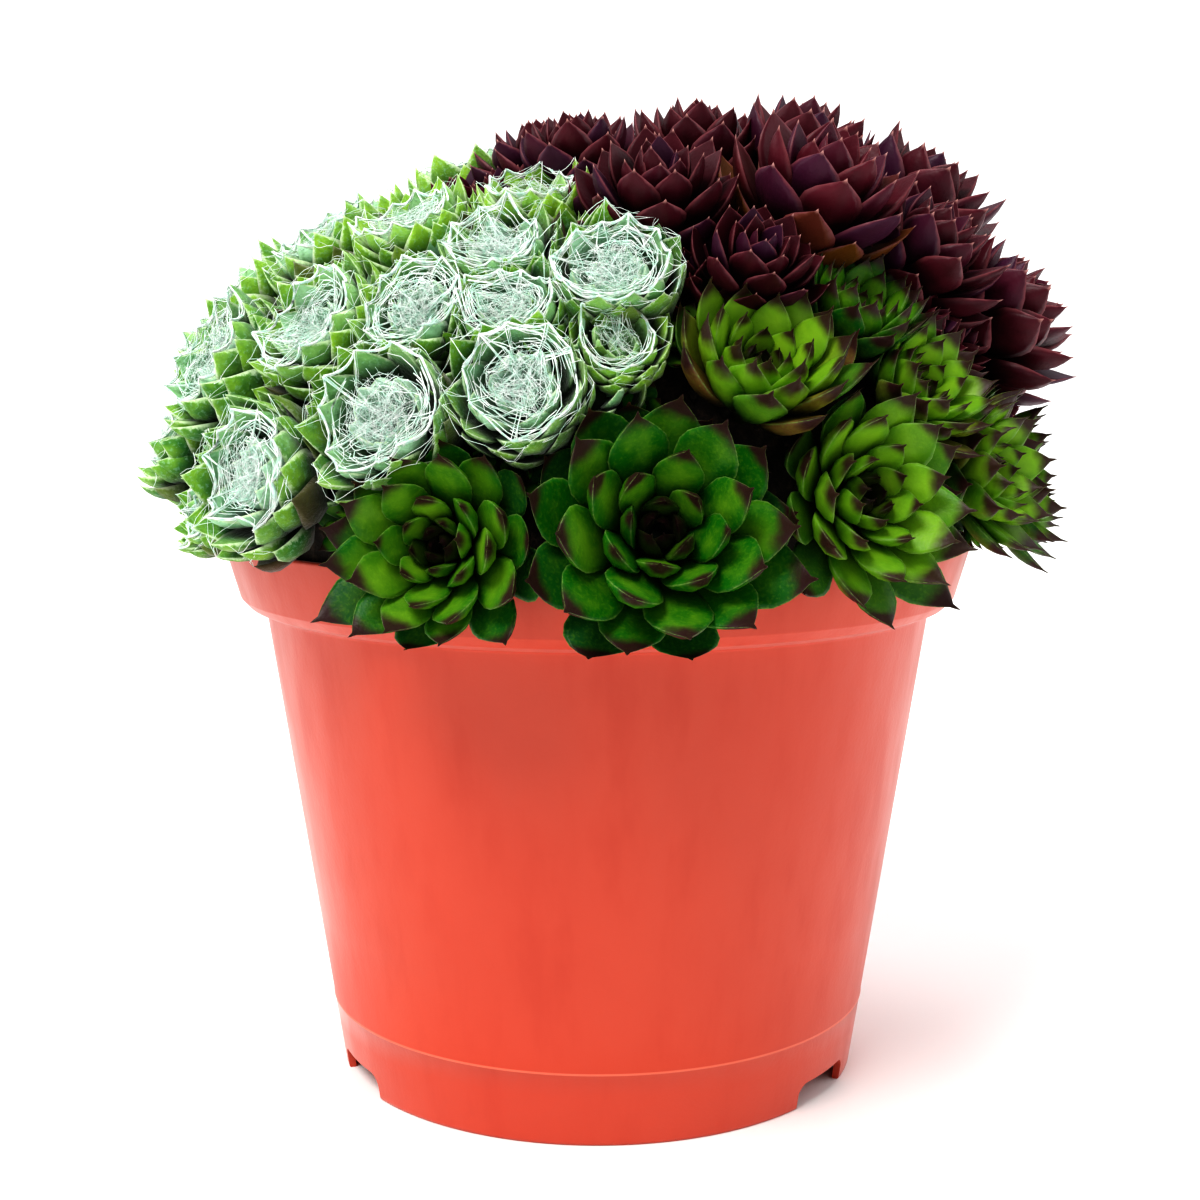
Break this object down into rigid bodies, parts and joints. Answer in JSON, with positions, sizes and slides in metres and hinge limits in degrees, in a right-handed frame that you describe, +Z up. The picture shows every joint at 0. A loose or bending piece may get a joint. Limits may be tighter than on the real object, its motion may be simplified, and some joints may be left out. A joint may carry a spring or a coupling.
{
  "type": "potted hens and chicks plant",
  "caption": "Hens and chicks (Sempervivum) in a round nursery pot: a domed cushion of cobweb, green and dark red houseleek rosettes on compost.",
  "frame": {"origin": "under the pot, at the middle of the circle that its foot stands on", "axes": "+Z up; -Y is the front, where the large green rosettes hang over the rim; +X is to the right seen from the front"},
  "size_m": [0.1768, 0.1871, 0.1836],
  "materials": {
    "pot_plastic": "satin, coral red, injection moulded",
    "compost": "moist peat compost with dry leaf litter",
    "cobweb_leaf": "pale green leaves with white threads from tip to tip",
    "green_leaf": "fresh green fleshy leaves with dark purple-brown tips",
    "red_leaf": "dark maroon fleshy leaves with pale tips"
  },
  "bodies": {
    "root": {"pot": "pot_plastic", "compost": "compost", "cobweb_01": "cobweb_leaf", "cobweb_02": "cobweb_leaf", "cobweb_03": "cobweb_leaf", "cobweb_04": "cobweb_leaf", "cobweb_05": "cobweb_leaf", "cobweb_06": "cobweb_leaf", "cobweb_07": "cobweb_leaf", "cobweb_08": "cobweb_leaf", "cobweb_09": "cobweb_leaf", "cobweb_10": "cobweb_leaf", "cobweb_11": "cobweb_leaf", "cobweb_12": "cobweb_leaf", "cobweb_13": "cobweb_leaf", "cobweb_14": "cobweb_leaf", "cobweb_15": "cobweb_leaf", "cobweb_16": "cobweb_leaf", "cobweb_17": "cobweb_leaf", "cobweb_18": "cobweb_leaf", "cobweb_19": "cobweb_leaf", "cobweb_20": "cobweb_leaf", "cobweb_21": "cobweb_leaf", "cobweb_22": "cobweb_leaf", "cobweb_23": "cobweb_leaf", "green_01": "green_leaf", "green_02": "green_leaf", "green_03": "green_leaf", "green_04": "green_leaf", "green_05": "green_leaf", "green_06": "green_leaf", "green_07": "green_leaf", "green_08": "green_leaf", "green_09": "green_leaf", "red_01": "red_leaf", "red_02": "red_leaf", "red_03": "red_leaf", "red_04": "red_leaf", "red_05": "red_leaf", "red_06": "red_leaf", "red_07": "red_leaf", "red_08": "red_leaf", "red_09": "red_leaf", "red_10": "red_leaf", "red_11": "red_leaf", "red_12": "red_leaf", "red_13": "red_leaf", "red_14": "red_leaf", "red_15": "red_leaf", "red_16": "red_leaf", "red_17": "red_leaf", "red_18": "red_leaf", "red_19": "red_leaf", "red_20": "red_leaf", "red_21": "red_leaf", "red_22": "red_leaf", "red_23": "red_leaf", "red_24": "red_leaf", "red_25": "red_leaf", "red_26": "red_leaf"}
  },
  "joints": []
}
